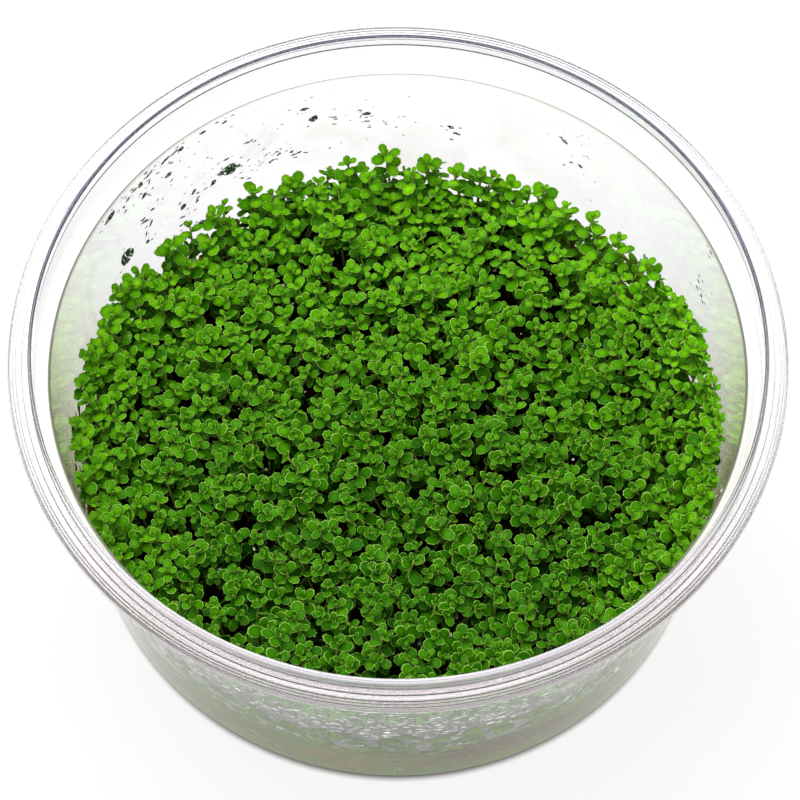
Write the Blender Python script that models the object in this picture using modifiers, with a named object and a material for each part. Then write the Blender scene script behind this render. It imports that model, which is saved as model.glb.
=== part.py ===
"""Dwarf baby tears: a carpet of tiny round-leaved plants on gel, in a clear open plastic cup.

Metres, +Z up. The cup stands on z = 0 with its axis on the Z axis, and its front is towards -Y.
"""
import math
import random

import bmesh
import bpy
from mathutils import Matrix, Vector
from mathutils.bvhtree import BVHTree

MM = 0.001

# The cup: heights from its underside, radii from its axis.
CUP_HEIGHT = 46.3 * MM
FLANGE_RADIUS = 50.5 * MM
FLANGE_DROP = 2.1 * MM
FLANGE_LIP = 1.2 * MM
COLLAR_RADIUS = 47.85 * MM
LEDGE_RADIUS = 45.4 * MM
LEDGE_DROP = 6.25 * MM
BASE_RADIUS = 41.9 * MM
BASE_CORNER = 3.0 * MM
FOOT_RADIUS = 30.0 * MM
FOOT_RISE = 0.8 * MM
WALL = 0.7 * MM
EDGE_ROUND = 0.2 * MM
TURN_STEPS = 36
CREASE = math.radians(25)

# Touching pieces keep this gap.
GAP = 0.3 * MM

# The gel, and the carpet of plants that grows on it.
GEL_TOP = 12.0 * MM
CANOPY_HEIGHT = 22.6 * MM
CANOPY_LEAN = 1.2 * MM
CANOPY_SIDE_RISE = 2.6 * MM
CANOPY_END_FALL = 0.9 * MM
CANOPY_SWELL = 0.6 * MM
LUMP_DEPTH = 1.1 * MM
CARPET_CELLS = 24

# Leaves are six-sided and slightly domed, and grow in crossed pairs round a stem.
LEAF_LENGTH = 2.5 * MM
LEAF_WIDTH = 2.0 * MM
LEAF_DOME = 0.4 * MM
LEAF_SIDES = 6
LEAF_LIFT = math.radians(20)
LEAF_OFFSET = 0.15 * MM
QUARTER_TURN = math.pi / 2
STEM_RADIUS = 0.3 * MM
STEM_SIDES = 5

# The mat's top leaves stand in pairs, spread over it in a sunflower pattern.
PAIR_COUNT = 72
PAIR_REACH = 39.0 * MM
PAIR_SINK = 1.3 * MM
PAIR_SCALE = 1.5
PAIR_LIFT = math.radians(28)
PAIR_LIFT_SPREAD = math.radians(10)
PAIR_CLEARANCE = 6.0 * MM
GOLDEN_ANGLE = math.radians(137.5)

# Single shoots that stand clear of the carpet: angle round the cup in degrees (90 is the back), the
# foot's distance from the axis, and the tip's height.
SPRIGS = (
    (120, 41.0 * MM, 25.6 * MM),
    (112, 40.8 * MM, 24.2 * MM),
    (101, 40.8 * MM, 26.0 * MM),
    (97, 37.4 * MM, 26.6 * MM),
    (93, 41.0 * MM, 27.0 * MM),
    (88, 39.0 * MM, 25.6 * MM),
    (84, 41.0 * MM, 24.8 * MM),
    (79, 39.6 * MM, 25.2 * MM),
    (74, 41.0 * MM, 24.8 * MM),
    (68, 40.6 * MM, 24.6 * MM),
    (61, 41.0 * MM, 26.0 * MM),
    (55, 40.4 * MM, 26.4 * MM),
    (49, 41.0 * MM, 26.8 * MM),
    (42, 40.6 * MM, 28.0 * MM),
    (34, 41.0 * MM, 28.4 * MM),
    (25, 41.0 * MM, 28.6 * MM),
    (14, 41.0 * MM, 28.2 * MM),
    (130, 41.0 * MM, 26.2 * MM),
    (141, 41.0 * MM, 27.4 * MM),
    (153, 41.0 * MM, 28.4 * MM),
    (167, 41.0 * MM, 28.4 * MM),
    (204, 40.4 * MM, 28.0 * MM),
    (248, 39.0 * MM, 27.2 * MM),
    (306, 39.4 * MM, 27.4 * MM),
)
SPRIG_FEET = [
    (radius * math.cos(math.radians(degrees)), radius * math.sin(math.radians(degrees)))
    for degrees, radius, tip_height in SPRIGS
]


def wall_radius(z):
    """Radius of the tapering wall's inner face at height z."""
    foot = BASE_RADIUS - WALL
    return foot + (LEDGE_RADIUS - foot) * z / (CUP_HEIGHT - LEDGE_DROP)


def arc(centre, radius, start, end, steps):
    """Points (r, z) on an arc about centre, its angles in degrees from +r."""
    points = []
    for i in range(steps + 1):
        angle = math.radians(start + (end - start) * i / steps)
        points.append((centre[0] + radius * math.cos(angle), centre[1] + radius * math.sin(angle)))
    return points


def cup_profile():
    """Half section of the cup: along its floor, up its inner side, down its outer side, under the base."""
    top = CUP_HEIGHT
    ledge = top - LEDGE_DROP
    flange = top - FLANGE_DROP
    lip = flange - FLANGE_LIP
    collar_inside = COLLAR_RADIUS - WALL
    corner_centre = (BASE_RADIUS - BASE_CORNER, BASE_CORNER)
    outer_side = [
        (COLLAR_RADIUS - EDGE_ROUND, top),
        (COLLAR_RADIUS, top - EDGE_ROUND),
        (COLLAR_RADIUS, flange),
        (FLANGE_RADIUS - EDGE_ROUND, flange),
        (FLANGE_RADIUS, flange - EDGE_ROUND),
        (FLANGE_RADIUS, lip),
        (FLANGE_RADIUS - WALL, lip),
        (FLANGE_RADIUS - WALL, flange - WALL),
        (COLLAR_RADIUS, flange - WALL),
        (COLLAR_RADIUS, ledge - WALL),
        (LEDGE_RADIUS + WALL, ledge - WALL),
    ]
    underside = [
        (FOOT_RADIUS + FOOT_RISE, 0.0),
        (FOOT_RADIUS, FOOT_RISE),
        (0.0, FOOT_RISE),
    ]
    floor = [
        (0.0, FOOT_RISE + WALL),
        (FOOT_RADIUS, FOOT_RISE + WALL),
        (FOOT_RADIUS + FOOT_RISE, WALL),
    ]
    inner_side = [
        (LEDGE_RADIUS, ledge),
        (collar_inside, ledge),
        (collar_inside, top - EDGE_ROUND),
        (collar_inside + EDGE_ROUND, top),
    ]
    outer_corner = arc(corner_centre, BASE_CORNER, 0, -90, 3)
    inner_corner = arc(corner_centre, BASE_CORNER - WALL, -90, 0, 2)
    return floor + inner_corner + inner_side + outer_side + outer_corner + underside


def gel_profile():
    """Half section of the gel, poured on the floor of the cup up to a level top."""
    floor = WALL + GAP
    corner_centre = (BASE_RADIUS - BASE_CORNER, BASE_CORNER)
    top = [
        (0.0, GEL_TOP),
        (wall_radius(GEL_TOP) - GAP, GEL_TOP),
    ]
    underside = [
        (FOOT_RADIUS + FOOT_RISE, floor),
        (FOOT_RADIUS, FOOT_RISE + floor),
        (0.0, FOOT_RISE + floor),
    ]
    return top + arc(corner_centre, BASE_CORNER - floor, 0, -90, 2) + underside


def trimmer_profile():
    """Half section of the space between the gel and the ledge, a gap inside the wall."""
    low = GEL_TOP + GAP
    high = CUP_HEIGHT - LEDGE_DROP
    return [
        (0.0, high),
        (wall_radius(high) - GAP, high),
        (wall_radius(low) - GAP, low),
        (0.0, low),
    ]


def canopy(x, y):
    """Height of the leaf tips: soft swells, lower at the back, and higher where both sides meet the wall."""
    across = x / wall_radius(CANOPY_HEIGHT)
    back = y / wall_radius(CANOPY_HEIGHT)
    swell = CANOPY_SWELL * math.sin(170.0 * x + 1.0) * math.sin(140.0 * y + 0.4)
    rise = CANOPY_SIDE_RISE * across ** 4
    fall = CANOPY_LEAN * back + CANOPY_END_FALL * back ** 4
    return CANOPY_HEIGHT + rise - fall + swell


def plain_material(name, color, roughness, transmission=0.0):
    """A material of one colour and gloss."""
    made = bpy.data.materials.new(name)
    made.use_nodes = True
    made.diffuse_color = (*color, 1.0)
    shader = made.node_tree.nodes["Principled BSDF"]
    shader.inputs["Base Color"].default_value = (*color, 1.0)
    shader.inputs["Roughness"].default_value = roughness
    shader.inputs["Metallic"].default_value = 0.0
    shader.inputs["Transmission Weight"].default_value = transmission
    return made


def new_object(name, mesh, collection, finish=None):
    """An object of a mesh in a collection, with its finish."""
    thing = bpy.data.objects.new(name, mesh)
    collection.objects.link(thing)
    if finish:
        mesh.materials.append(finish)
    return thing


def make_guide(thing):
    """Marks an object as a cutter, which is not part of the model."""
    thing.hide_render = True
    thing.display_type = "WIRE"


def turned(name, profile, collection, finish=None):
    """A half section at +X, turned about Z into a round solid."""
    mesh = bpy.data.meshes.new(name)
    points = [(r, 0.0, z) for r, z in profile]
    edges = [(i, i + 1) for i in range(len(points) - 1)]
    mesh.from_pydata(points, edges, [])
    thing = new_object(name, mesh, collection, finish)
    screw = thing.modifiers.new("turn", "SCREW")
    screw.steps = TURN_STEPS
    screw.render_steps = TURN_STEPS
    screw.use_merge_vertices = True
    screw.merge_threshold = 0.01 * MM
    screw.use_smooth_shade = False
    return thing


def shade_round(thing):
    """Applies a turned piece's modifier and shades it smooth, with its corners kept sharp."""
    mesh = finished_mesh(thing, thing.name)
    thing.modifiers.clear()
    thing.data = mesh
    mesh.shade_smooth()
    mesh.set_sharp_from_angle(angle=CREASE)


def boolean(thing, operation, other, join_self=False):
    """Adds an exact Boolean of thing with other."""
    modifier = thing.modifiers.new(operation.lower(), "BOOLEAN")
    modifier.operation = operation
    modifier.solver = "EXACT"
    modifier.object = other
    modifier.use_self = join_self


def finished_mesh(thing, name):
    """The mesh of an object as its modifiers leave it, in world space."""
    bpy.context.view_layer.update()
    graph = bpy.context.evaluated_depsgraph_get()
    mesh = bpy.data.meshes.new_from_object(thing.evaluated_get(graph))
    mesh.name = name
    mesh.transform(thing.matrix_world)
    return mesh


def add_leaf(shape, foot, heading, lift, scale):
    """Adds one leaf: its narrow end at foot, pointing along heading and raised by lift."""
    stretch = Matrix.Diagonal((0.5 * LEAF_LENGTH * scale, 0.5 * LEAF_WIDTH * scale, 1.0, 1.0))
    oval = stretch @ Matrix.Rotation(QUARTER_TURN, 4, "Z")
    outwards = Matrix.Translation((0.5 * LEAF_LENGTH * scale + LEAF_OFFSET, 0.0, 0.0))
    raised = Matrix.Rotation(heading, 4, "Z") @ Matrix.Rotation(-lift, 4, "Y")
    bmesh.ops.create_cone(
        shape,
        cap_ends=True,
        segments=LEAF_SIDES,
        radius1=1.0,
        radius2=0.0,
        depth=LEAF_DOME * scale,
        matrix=Matrix.Translation(foot) @ raised @ outwards @ oval,
    )


def add_stem(shape, foot, top):
    """Adds a straight stem from foot to top."""
    along = top - foot
    aim = along.to_track_quat("Z", "Y").to_matrix().to_4x4()
    bmesh.ops.create_cone(
        shape,
        cap_ends=True,
        segments=STEM_SIDES,
        radius1=STEM_RADIUS,
        radius2=STEM_RADIUS,
        depth=along.length,
        matrix=Matrix.Translation((foot + top) / 2) @ aim,
    )


def add_pair(shape, node, heading, lift, scale):
    """Adds two opposite leaves at a node of a stem."""
    for side in (0.0, math.pi):
        add_leaf(shape, node, heading + side, lift, scale)


def mesh_of(shape, name):
    """A mesh of a finished bmesh."""
    mesh = bpy.data.meshes.new(name)
    shape.to_mesh(mesh)
    shape.free()
    return mesh


def carpet_slab(draw):
    """A square slab with a level underside and a top that follows the canopy in leaf-sized lumps."""
    half = wall_radius(CUP_HEIGHT)
    jitter = 0.5 * half / CARPET_CELLS
    shape = bmesh.new()
    bmesh.ops.create_grid(shape, x_segments=CARPET_CELLS, y_segments=CARPET_CELLS, size=half)
    for corner in shape.verts:
        corner.co.z = 0.0
    extruded = bmesh.ops.extrude_face_region(shape, geom=list(shape.faces))
    for item in extruded["geom"]:
        if isinstance(item, bmesh.types.BMVert):
            item.co.x += draw.uniform(-jitter, jitter)
            item.co.y += draw.uniform(-jitter, jitter)
            item.co.z = canopy(item.co.x, item.co.y) - draw.uniform(0.0, LUMP_DEPTH)
    bmesh.ops.triangulate(shape, faces=shape.faces)
    bmesh.ops.recalc_face_normals(shape, faces=shape.faces)
    return mesh_of(shape, "carpet")


def carpet_leaves(draw):
    """The mat's top leaves: opposite pairs with sunk feet, in a sunflower pattern clear of the shoots."""
    shape = bmesh.new()
    for k in range(PAIR_COUNT):
        radius = PAIR_REACH * math.sqrt((k + 0.5) / PAIR_COUNT)
        x = radius * math.cos(k * GOLDEN_ANGLE)
        y = radius * math.sin(k * GOLDEN_ANGLE)
        if min(math.dist((x, y), place) for place in SPRIG_FEET) < PAIR_CLEARANCE:
            continue
        node = Vector((x, y, canopy(x, y) - PAIR_SINK))
        heading = draw.uniform(0.0, math.pi)
        for side in (0.0, math.pi):
            lift = PAIR_LIFT + draw.uniform(0.0, PAIR_LIFT_SPREAD)
            add_leaf(shape, node, heading + side, lift, PAIR_SCALE)
    return mesh_of(shape, "carpet leaves")


def sprig(draw, number, foot, tip_height, finish):
    """A single shoot: a leaning stem with one lower pair of leaves and a crossed top, all one body."""
    height = tip_height - foot.z
    lean = 0.1 * height
    top = foot + Vector((draw.uniform(-lean, lean), draw.uniform(-lean, lean), height))
    heading = draw.uniform(0.0, math.pi)
    stalk = bmesh.new()
    add_stem(stalk, foot, top)
    leaves = bmesh.new()
    for share, turn, scale in ((0.6, 0.0, 1.0), (0.82, QUARTER_TURN, 0.95), (0.97, 0.0, 0.75)):
        add_pair(leaves, foot.lerp(top, share), heading + turn, LEAF_LIFT, scale)
    shoot = new_object(f"sprig_{number:02d}", mesh_of(stalk, "stalk"), parts, finish)
    leaf_guide = new_object(f"leaves_{number:02d}", mesh_of(leaves, "leaves"), cutters)
    make_guide(leaf_guide)
    boolean(shoot, "UNION", leaf_guide, join_self=True)


def highest_below(surface, x, y):
    """The highest point of a surface under a stem that stands at x, y."""
    heights = []
    for k in range(STEM_SIDES):
        angle = 2.0 * math.pi * k / STEM_SIDES
        start = Vector((x + STEM_RADIUS * math.cos(angle), y + STEM_RADIUS * math.sin(angle), CUP_HEIGHT))
        hit = surface.ray_cast(start, Vector((0.0, 0.0, -1.0)))
        heights.append(hit[0].z)
    return max(heights)


for old in list(bpy.data.objects):
    bpy.data.objects.remove(old, do_unlink=True)

draw = random.Random(7)
parts = bpy.data.collections.new("dwarf_baby_tears")
cutters = bpy.data.collections.new("cutters")
bpy.context.scene.collection.children.link(parts)
bpy.context.scene.collection.children.link(cutters)

# The cup, one moulded piece, and the gel on its floor.
cup = turned("cup", cup_profile(), parts, plain_material("clear_plastic", (0.93, 0.94, 0.95), 0.06, 1.0))
gel = turned("gel", gel_profile(), parts, plain_material("pale_gel", (0.42, 0.45, 0.22), 0.3))
shade_round(cup)
shade_round(gel)

# The carpet: a lumpy slab trimmed to the inside of the cup, with its top leaves joined on.
trimmer = turned("trimmer", trimmer_profile(), cutters)
leaf_guide = new_object("carpet_leaves", carpet_leaves(draw), cutters)
make_guide(trimmer)
make_guide(leaf_guide)
leaf_green = plain_material("leaf_green", (0.07, 0.22, 0.02), 0.45)
carpet = new_object("carpet", carpet_slab(draw), parts, leaf_green)
boolean(carpet, "INTERSECT", trimmer)
boolean(carpet, "UNION", leaf_guide, join_self=True)

# The single shoots that stand clear of it.
shoot_green = plain_material("shoot_green", (0.10, 0.30, 0.03), 0.45)
top_of_carpet = finished_mesh(carpet, "top of carpet")
surface = BVHTree.FromPolygons(
    [corner.co for corner in top_of_carpet.vertices],
    [face.vertices for face in top_of_carpet.polygons],
)
bpy.data.meshes.remove(top_of_carpet)
for number, (x, y) in enumerate(SPRIG_FEET, start=1):
    foot = Vector((x, y, highest_below(surface, x, y) + GAP))
    sprig(draw, number, foot, SPRIGS[number - 1][2], shoot_green)
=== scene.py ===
"""Dwarf baby tears growing on gel in a clear round plastic cup, seen from above the near side."""
import math

import bpy
import numpy as np
from mathutils import Matrix, Vector


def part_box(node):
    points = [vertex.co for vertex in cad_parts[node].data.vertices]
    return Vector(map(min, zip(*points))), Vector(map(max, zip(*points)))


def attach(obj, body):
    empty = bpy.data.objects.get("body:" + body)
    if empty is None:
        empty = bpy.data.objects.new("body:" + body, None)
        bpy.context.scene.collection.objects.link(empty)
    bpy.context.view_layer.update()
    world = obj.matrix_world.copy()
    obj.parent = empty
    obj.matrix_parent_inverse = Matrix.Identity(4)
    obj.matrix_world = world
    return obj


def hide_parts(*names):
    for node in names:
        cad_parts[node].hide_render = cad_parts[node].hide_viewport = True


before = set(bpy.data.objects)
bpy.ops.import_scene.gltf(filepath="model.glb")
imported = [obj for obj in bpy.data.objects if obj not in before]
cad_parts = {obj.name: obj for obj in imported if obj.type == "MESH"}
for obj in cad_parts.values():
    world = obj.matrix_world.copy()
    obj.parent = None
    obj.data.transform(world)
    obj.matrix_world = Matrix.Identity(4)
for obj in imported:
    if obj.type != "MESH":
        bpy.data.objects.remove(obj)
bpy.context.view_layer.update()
mm = 0.001

# The view: a long lens about 45 cm from the cup, looking down on it at 62 degrees and turned a little,
# as the photograph was taken.
view_lift = math.radians(61.65)
view_distance = 450.0 * mm
aim = Vector((0.30 * mm, 0.0, 30.35 * mm))
frame_pixels = 800
focal_pixels = 3385.0
view_turn = math.radians(0.79)

towards = Vector((0.0, math.cos(view_lift), -math.sin(view_lift)))
level_right = Vector((1.0, 0.0, 0.0))
level_up = level_right.cross(towards)
right = math.cos(view_turn) * level_right + math.sin(view_turn) * level_up
up = math.cos(view_turn) * level_up - math.sin(view_turn) * level_right
eye = aim - view_distance * towards
camera_data = bpy.data.cameras.new("view")
camera_data.sensor_width = 36.0
camera_data.lens = focal_pixels / frame_pixels * camera_data.sensor_width
camera_data.clip_start = 10.0 * mm
camera = bpy.data.objects.new("view", camera_data)
stand = Matrix((right, up, -towards)).transposed().to_4x4()
camera.matrix_world = Matrix.Translation(eye) @ stand
bpy.context.scene.collection.objects.link(camera)
bpy.context.scene.camera = camera


class Wire:
    """A socket of a material's nodes. A sum on wires adds its Math nodes."""

    def __init__(self, tree, socket=None):
        self.tree = tree
        self.socket = socket

    def node(self, kind, settings=None, values=None, output=0):
        """Adds any node: its type, its settings, and the values or wires of its sockets."""
        made = self.tree.nodes.new(kind)
        for name, setting in (settings or {}).items():
            if name == "stops":
                ramp = made.color_ramp.elements
                while len(ramp) < len(setting):
                    ramp.new(0.5)
                for stop, (place, color) in zip(ramp, setting):
                    stop.position = place
                    stop.color = (*color, 1.0)
            else:
                setattr(made, name, setting)
        for name, value in (values or {}).items():
            if isinstance(value, Wire):
                self.tree.links.new(value.socket, made.inputs[name])
            else:
                made.inputs[name].default_value = value
        return Wire(self.tree, made.outputs[output])

    def maths(self, operation, *terms):
        """Adds a Math node on these terms."""
        return self.node("ShaderNodeMath", {"operation": operation}, dict(enumerate(terms)))

    def __add__(self, other):
        return self.maths("ADD", self, other)

    def __sub__(self, other):
        return self.maths("SUBTRACT", self, other)

    def __rsub__(self, other):
        return self.maths("SUBTRACT", other, self)

    def __mul__(self, other):
        return self.maths("MULTIPLY", self, other)

    def __truediv__(self, other):
        return self.maths("DIVIDE", self, other)

    __radd__ = __add__
    __rmul__ = __mul__

    def step(self, low, high):
        """0 below low, 1 above high, and smooth between."""
        values = {"Value": self, "From Min": low, "From Max": high}
        return self.node("ShaderNodeMapRange", {"interpolation_type": "SMOOTHSTEP"}, values)

    def blend(self, first, second):
        """The colour first where this is 0, second where it is 1."""
        values = {"Factor": self, 6: first, 7: second}
        return self.node("ShaderNodeMix", {"data_type": "RGBA"}, values, output=2)


def finish(name):
    """A new material, the wire that its nodes start from, and its shader."""
    made = bpy.data.materials.new(name)
    made.use_nodes = True
    return made, Wire(made.node_tree), made.node_tree.nodes["Principled BSDF"]


def connect(wire, shader, socket):
    """Feeds a wire to a socket of a shader."""
    wire.tree.links.new(wire.socket, shader.inputs[socket])


def settle(shader, values):
    """Gives a shader's own sockets the values that are the same all over the surface."""
    for socket, value in values.items():
        shader.inputs[socket].default_value = value


def color(red, green, blue):
    """A linear colour from the 0 to 255 values that a picture shows."""
    shown = np.array([red, green, blue]) / 255.0
    linear = np.where(shown <= 0.04045, shown / 12.92, ((shown + 0.055) / 1.055) ** 2.4)
    return (*linear.tolist(), 1.0)


# The table that the cup stands on: a plain white sheet, lit brighter behind the cup than in front of it,
# white all round the cup, greyer further out, and in the cup's own shade under its foot.
table_half = 3.0
bright_reach = 0.11
grey_reach = 0.30
shade_reach = 41.0 * mm
shade_end = 42.4 * mm
table_drop = 0.05 * mm
white_in_front = color(243, 243, 242)
white_behind = color(262, 262, 262)
foot_shade = color(60, 52, 44)
far_grey = color(80, 80, 88)
sheet_color = color(100, 100, 100)
table_finish, wire, shader = finish("white_table")
place = wire.node("ShaderNodeTexCoord", output=3)
out = wire.node("ShaderNodeVectorMath", {"operation": "LENGTH"}, {0: place}, output=1)
far = out.step(bright_reach, grey_reach)
behind = wire.node("ShaderNodeSeparateXYZ", {}, {"Vector": place}, output=1).step(-30.0 * mm, 60.0 * mm)
glow = behind.blend(white_in_front, white_behind)
glow = out.step(shade_end, shade_reach).blend(glow, foot_shade)
connect(far.blend(glow, far_grey), shader, "Emission Color")
settle(shader, {
    "Base Color": sheet_color,
    "Roughness": 0.9,
    "Specular IOR Level": 0.0,
    "Emission Strength": 1.0,
})
table_mesh = bpy.data.meshes.new("table")
ends = ((-1, -1), (1, -1), (1, 1), (-1, 1))
corners = [(x * table_half, y * table_half, -table_drop) for x, y in ends]
table_mesh.from_pydata(corners, [], [(0, 1, 2, 3)])
table_mesh.materials.append(table_finish)
table = bpy.data.objects.new("table", table_mesh)
bpy.context.scene.collection.objects.link(table)

# The light: a wide soft box overhead and a little behind the cup, in a room that is pale above and dark
# along its walls, so that clear plastic shows its edges.
box_size = 0.5
box_place = (-0.12, 0.15, 0.6)
box_watts = 3.4
room_strength = 0.75
lamp_data = bpy.data.lights.new("soft_box", "AREA")
lamp_data.shape = "DISK"
lamp_data.size = box_size
lamp_data.energy = box_watts
lamp = bpy.data.objects.new("soft_box", lamp_data)
lamp.location = box_place
lamp.rotation_euler = Vector(box_place).to_track_quat("Z", "Y").to_euler()
bpy.context.scene.collection.objects.link(lamp)

room = bpy.data.worlds.new("room")
room.use_nodes = True
bpy.context.scene.world = room
wire = Wire(room.node_tree)
direction = wire.node("ShaderNodeTexCoord", output=0)
height = wire.node("ShaderNodeSeparateXYZ", {}, {"Vector": direction}, output=2)
room_stops = [
    (0.00, (0.15, 0.14, 0.21)),
    (0.35, (0.13, 0.12, 0.19)),
    (0.60, (0.30, 0.30, 0.34)),
    (0.85, (0.70, 0.70, 0.71)),
]
shade = wire.node("ShaderNodeValToRGB", {"stops": room_stops}, {"Fac": height})
backdrop = room.node_tree.nodes["Background"]
connect(shade, backdrop, "Color")
backdrop.inputs["Strength"].default_value = room_strength
bpy.context.scene.view_settings.view_transform = "Standard"

# The cup: thin clear plastic, moulded in one piece, with a ledge, an upright collar and a lid flange.
# Its outline is the CAD cup's, with its corners rounded as moulding leaves them.
flange_radius, _, cup_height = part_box("cup")[1]
wall = 0.28 * mm
collar_wall = 0.5 * mm
flange_height = cup_height - 2.1 * mm
lip_height = flange_height - 1.2 * mm
thin_wall = 0.25 * mm
rim_frost = 0.10
corner_frost = 0.40
collar_radius = 47.75 * mm
ledge_radius = 45.35 * mm
ledge_height = cup_height - 6.25 * mm
base_radius = 41.9 * mm
foot_radius = 30.0 * mm
foot_rise = 0.8 * mm
rib_radii = np.array([48.6, 49.4, 49.8, 50.2]) * mm
rib_height = 0.2 * mm
rib_half = 0.12 * mm
cup_steps = 240


def rounded(corners, arc_steps=5):
    """A line through corners (r, z, rounding), each rounding an arc that touches both its sides.

    The arc's ends lie rounding / tan(half the corner's angle) from the corner, along its sides. A straight
    side has one more point close to each of its ends, so that smooth shading leaves it straight.
    """
    margin = 0.06 * mm
    points = [Vector(corners[0][:2])]
    for before, (r, z, rounding), after in zip(corners, corners[1:], corners[2:]):
        corner = Vector((r, z))
        first = (Vector(before[:2]) - corner).normalized()
        last = (Vector(after[:2]) - corner).normalized()
        half = 0.5 * first.angle(last)
        centre = corner + (first + last).normalized() * (rounding / math.sin(half))
        start = corner + first * (rounding / math.tan(half)) - centre
        end = corner + last * (rounding / math.tan(half)) - centre
        sweep = start.angle(end)
        arc = []
        for k in range(arc_steps + 1):
            share = k / arc_steps
            spoke = math.sin((1 - share) * sweep) * start + math.sin(share * sweep) * end
            arc.append(centre + spoke / math.sin(sweep))
        straight = arc[0] - points[-1]
        if straight.length > 3.0 * margin:
            points += [points[-1] + margin * straight.normalized(), arc[0] - margin * straight.normalized()]
        points += arc
    points.append(Vector(corners[-1][:2]))
    return np.array(points)


def ring_faces(rings, sides):
    """Faces of a stack of rings, closed by a pole before the first ring and one after the last.

    The points come ring by ring, and then the first pole and the last pole.
    """
    k = np.arange(sides)
    ahead = (k + 1) % sides
    row = sides * np.arange(rings - 1)[:, None]
    quads = np.stack([row + k, row + sides + k, row + sides + ahead, row + ahead], axis=2).reshape(-1, 4)
    last = sides * (rings - 1)
    pole = sides * rings
    fans = np.concatenate([
        np.stack([np.full(sides, pole), k, ahead], axis=1),
        np.stack([np.full(sides, pole + 1), last + ahead, last + k], axis=1),
    ])
    return quads, fans


def filled_mesh(name, points, quads, fans, spots=None):
    """A smooth mesh from whole arrays of points and faces, with spots as its points' places in its UV map."""
    mesh = bpy.data.meshes.new(name)
    corners = np.concatenate([quads.ravel(), fans.ravel()]).astype(np.int32)
    sizes = np.concatenate([np.full(len(quads), 4), np.full(len(fans), 3)])
    starts = np.concatenate([[0], np.cumsum(sizes)[:-1]]).astype(np.int32)
    mesh.vertices.add(len(points))
    mesh.vertices.foreach_set("co", points.astype(np.float32).ravel())
    mesh.loops.add(len(corners))
    mesh.loops.foreach_set("vertex_index", corners)
    mesh.polygons.add(len(sizes))
    mesh.polygons.foreach_set("loop_start", starts)
    mesh.polygons.foreach_set("use_smooth", np.ones(len(sizes), dtype=bool))
    if spots is not None:
        mesh.uv_layers.new(name="OFBake").uv.foreach_set("vector", spots[corners].astype(np.float32).ravel())
    mesh.update()
    return mesh


def piece_of(name, mesh, material, slot, *nodes):
    """A piece in the scene: rides on the object's one body and stands for these CAD nodes."""
    mesh.materials.append(material)
    piece = bpy.data.objects.new(name, mesh)
    bpy.context.scene.collection.objects.link(piece)
    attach(piece, "root")
    if nodes:
        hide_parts(*nodes)
    return piece


def turned(name, outline, steps):
    """A mesh of a half section turned about Z: x = r cos a, y = r sin a, its ends closed on the axis."""
    angles = 2.0 * np.pi * np.arange(steps) / steps
    r, z = outline[1:-1].T
    rings = np.stack([
        r[:, None] * np.cos(angles),
        r[:, None] * np.sin(angles),
        np.repeat(z[:, None], steps, axis=1),
    ], axis=2)
    poles = [[0.0, 0.0, outline[0, 1]], [0.0, 0.0, outline[-1, 1]]]
    points = np.concatenate([rings.reshape(-1, 3), poles])
    return filled_mesh(name, points, *ring_faces(len(r), steps))


def measured(wire):
    """Wires for a point's place, how far back it lies, how high it is, and its distance from the axis."""
    place = wire.node("ShaderNodeTexCoord", output=3)
    back = wire.node("ShaderNodeSeparateXYZ", {}, {"Vector": place}, output=1)
    high = wire.node("ShaderNodeSeparateXYZ", {}, {"Vector": place}, output=2)
    level = wire.node("ShaderNodeVectorMath", {"operation": "MULTIPLY"}, {0: place, 1: (1.0, 1.0, 0.0)})
    reach = wire.node("ShaderNodeVectorMath", {"operation": "LENGTH"}, {0: level}, output=1)
    return place, back, high, reach


def inner_radius(z):
    """Radius of the cup's inner wall face at height z."""
    return base_radius - wall + (ledge_radius - base_radius + wall) * z / ledge_height


ribs = []
for rib_radius in rib_radii:
    ribs += [
        (rib_radius - rib_half, flange_height, 0.03 * mm),
        (rib_radius, flange_height + rib_height, 0.05 * mm),
        (rib_radius + rib_half, flange_height, 0.03 * mm),
    ]
cup_outline = rounded([
    (0.0, foot_rise + wall),
    (foot_radius, foot_rise + wall, 1.0 * mm),
    (foot_radius + 2.0 * foot_rise, wall, 1.0 * mm),
    (inner_radius(wall), wall, 2.2 * mm),
    (ledge_radius, ledge_height, 0.08 * mm),
    (collar_radius - collar_wall, ledge_height, 0.3 * mm),
    (collar_radius - collar_wall, cup_height, 0.22 * mm),
    (collar_radius, cup_height, 0.22 * mm),
    (collar_radius, flange_height, 0.1 * mm),
    *ribs,
    (flange_radius, flange_height, 0.25 * mm),
    (flange_radius, lip_height, 0.1 * mm),
    (flange_radius - thin_wall, lip_height, 0.1 * mm),
    (flange_radius - thin_wall, flange_height - thin_wall, 0.1 * mm),
    (collar_radius, flange_height - thin_wall, 0.1 * mm),
    (collar_radius, ledge_height - thin_wall, 0.4 * mm),
    (ledge_radius + wall, ledge_height - thin_wall, 0.08 * mm),
    (base_radius, 0.0, 2.6 * mm),
    (foot_radius + 2.0 * foot_rise, 0.0, 1.0 * mm),
    (foot_radius, foot_rise, 1.0 * mm),
    (0.0, foot_rise),
], arc_steps=4)

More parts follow.
